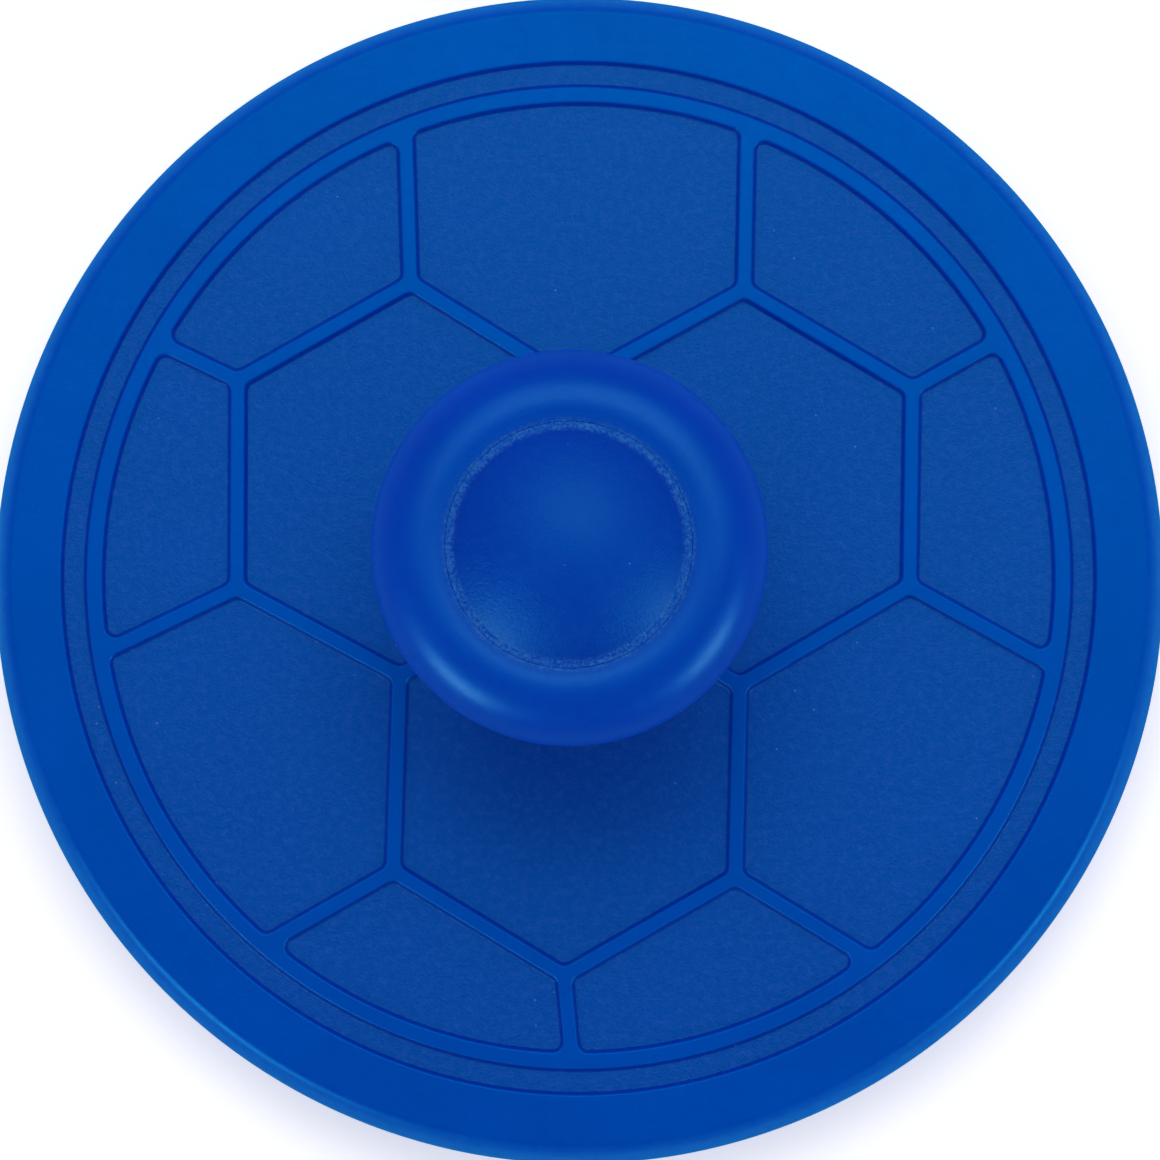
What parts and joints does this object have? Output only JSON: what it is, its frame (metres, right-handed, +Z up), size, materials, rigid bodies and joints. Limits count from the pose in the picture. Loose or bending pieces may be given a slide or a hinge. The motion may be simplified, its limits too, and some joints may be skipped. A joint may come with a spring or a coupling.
{
  "type": "air hockey striker",
  "caption": "Air hockey striker: round felt-backed plastic disc with a raised honeycomb face, a hollow stem, and a mushroom knob with a domed cap.",
  "frame": {"origin": "centre of the felt pad's underside, where the striker rests on the table", "axes": "+Z up through the knob, +X and +Y across the disc, with the honeycomb's upright ribs along Y"},
  "size_m": [0.095, 0.095, 0.0467],
  "materials": {
    "blue_disc": "satin moulded blue, fine matte texture in the sunk panels",
    "blue_knob": "satin moulded blue",
    "blue_cap": "satin moulded blue with a fine matte texture",
    "base_plastic": "plain moulded blue",
    "felt": "pressed wool-blend felt, off-white",
    "adhesive": "double-sided film, translucent",
    "zinc_steel": "bright zinc plate"
  },
  "bodies": {
    "root": {"striker_body": "blue_disc", "knob": "blue_knob", "knob_cap": "blue_cap", "screw": "zinc_steel", "washer": "zinc_steel", "base_plate": "base_plastic", "adhesive_film": "adhesive", "felt_pad": "felt"}
  },
  "joints": []
}
